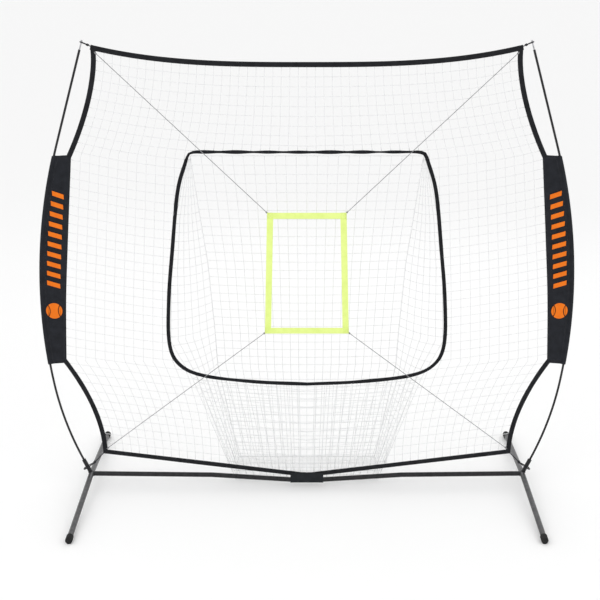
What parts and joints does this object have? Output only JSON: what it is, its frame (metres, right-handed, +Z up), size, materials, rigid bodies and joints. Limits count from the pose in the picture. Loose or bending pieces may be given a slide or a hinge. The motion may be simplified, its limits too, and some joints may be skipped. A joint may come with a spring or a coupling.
{
  "type": "pitching target net",
  "caption": "Free-standing pitching net: bowed poles on a steel base hold a net panel with a ball pocket and a hanging strike-zone frame.",
  "frame": {"origin": "on the ground under the middle of the net", "axes": "+X across the net, +Y away from the pitcher into the pocket, +Z up"},
  "size_m": [2.1604, 0.9856, 1.8714],
  "materials": {
    "leg_steel": "satin gunmetal",
    "black_steel": "gloss black",
    "foot_rubber": "matte",
    "fibreglass": "satin black",
    "ferrule_steel": "satin",
    "tip_steel": "satin",
    "button_steel": "bright",
    "black_webbing": "woven webbing",
    "sleeve_nylon": "woven nylon with orange print",
    "netting": "knotless white netting",
    "target_webbing": "fluorescent webbing",
    "elastic_cord": "braided",
    "tie_cord": "braided"
  },
  "bodies": {
    "base": {"bar_stub_left": "black_steel", "bar_stub_right": "black_steel", "border_bottom": "black_webbing", "border_lower_left": "black_webbing", "border_lower_right": "black_webbing", "border_top": "black_webbing", "border_upper_left": "black_webbing", "border_upper_right": "black_webbing", "centre_wrap": "black_webbing", "corner_cord_lower_left": "tie_cord", "corner_cord_lower_right": "tie_cord", "corner_cord_upper_left": "tie_cord", "corner_cord_upper_right": "tie_cord", "foot_cap_front_left": "foot_rubber", "foot_cap_front_right": "foot_rubber", "foot_cap_rear_left": "foot_rubber", "foot_cap_rear_right": "foot_rubber", "front_net": "netting", "inner_bar_left": "black_steel", "inner_bar_right": "black_steel", "leg_tube_left": "leg_steel", "leg_tube_right": "leg_steel", "net_hook_left": "black_steel", "net_hook_right": "black_steel", "outer_bar_left": "black_steel", "outer_bar_right": "black_steel", "pocket_back_net": "netting", "pocket_floor_net": "netting", "pocket_front_net": "netting", "pocket_ring": "black_webbing", "pocket_side_net_left": "netting", "pocket_side_net_right": "netting", "pole_ferrules_left": "ferrule_steel", "pole_ferrules_right": "ferrule_steel", "pole_lower_left": "fibreglass", "pole_lower_right": "fibreglass", "pole_middle_left": "fibreglass", "pole_middle_right": "fibreglass", "pole_socket_left": "black_steel", "pole_socket_right": "black_steel", "pole_tip_left": "tip_steel", "pole_tip_right": "tip_steel", "pole_upper_left": "fibreglass", "pole_upper_right": "fibreglass", "side_sleeve_left": "sleeve_nylon", "side_sleeve_right": "sleeve_nylon", "target_cord_lower_left": "elastic_cord", "target_cord_lower_right": "elastic_cord", "target_cord_upper_left": "elastic_cord", "target_cord_upper_right": "elastic_cord"},
    "target": {"target_frame": "target_webbing"},
    "leg_button_right": {"snap_button_leg_right": "button_steel"},
    "leg_button_left": {"snap_button_leg_left": "button_steel"},
    "knee_button_right": {"snap_button_knee_right": "button_steel"},
    "knee_button_left": {"snap_button_knee_left": "button_steel"}
  },
  "joints": [
    {"name": "target_push", "type": "slide", "parent": "base", "child": "target", "axis": [0, 1, 0], "range_m": [0, 0.04], "stiffness_N_per_m": 120, "deforming": ["target_cord_upper_right", "target_cord_upper_left", "target_cord_lower_right", "target_cord_lower_left"]},
    {"name": "leg_button_right_press", "type": "slide", "parent": "base", "child": "leg_button_right", "axis": [0, -1, 0], "range_m": [0, 0.003], "stiffness_N_per_m": 1500},
    {"name": "leg_button_left_press", "type": "slide", "parent": "base", "child": "leg_button_left", "axis": [0, -1, 0], "range_m": [0, 0.003], "stiffness_N_per_m": 1500},
    {"name": "knee_button_right_press", "type": "slide", "parent": "base", "child": "knee_button_right", "axis": [0, -1, 0], "range_m": [0, 0.003], "stiffness_N_per_m": 1500},
    {"name": "knee_button_left_press", "type": "slide", "parent": "base", "child": "knee_button_left", "axis": [0, -1, 0], "range_m": [0, 0.003], "stiffness_N_per_m": 1500}
  ]
}
